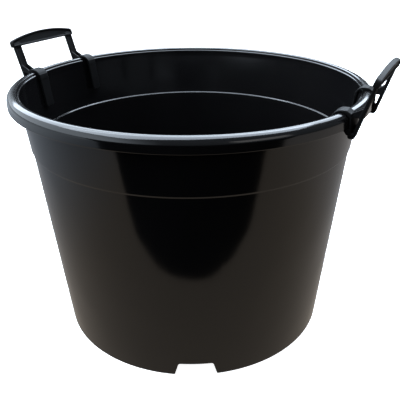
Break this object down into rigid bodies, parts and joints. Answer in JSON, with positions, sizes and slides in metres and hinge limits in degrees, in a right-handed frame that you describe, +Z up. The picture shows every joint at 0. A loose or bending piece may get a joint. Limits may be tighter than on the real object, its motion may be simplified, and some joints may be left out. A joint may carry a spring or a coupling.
{
  "type": "florist bucket",
  "caption": "Large round black plastic tub with a rolled rim, a notched foot and clip-on carry handles that slide round the rim.",
  "frame": {"origin": "centre of the ground plane under the tub, on the tub's axis", "axes": "+Z up along the tub's axis, +X towards the right handle and -X towards the left handle, the longest extent lies along X"},
  "size_m": [0.6084, 0.556, 0.4554],
  "materials": {
    "tub": "smooth moulded polypropylene, glossy",
    "handle": "smooth moulded nylon or polypropylene, satin to glossy"
  },
  "bodies": {
    "tub": {"tub": "tub"},
    "handle_right": {"handle_right": "handle"},
    "handle_left": {"handle_left": "handle"}
  },
  "joints": [
    {"name": "handle_right_slide_round_rim", "type": "hinge", "parent": "tub", "child": "handle_right", "pos_m": [0, 0, 0.39], "axis": [0, 0, 1], "range_deg": [-70, 70]},
    {"name": "handle_left_slide_round_rim", "type": "hinge", "parent": "tub", "child": "handle_left", "pos_m": [0, 0, 0.39], "axis": [0, 0, 1], "range_deg": [-70, 70]}
  ]
}
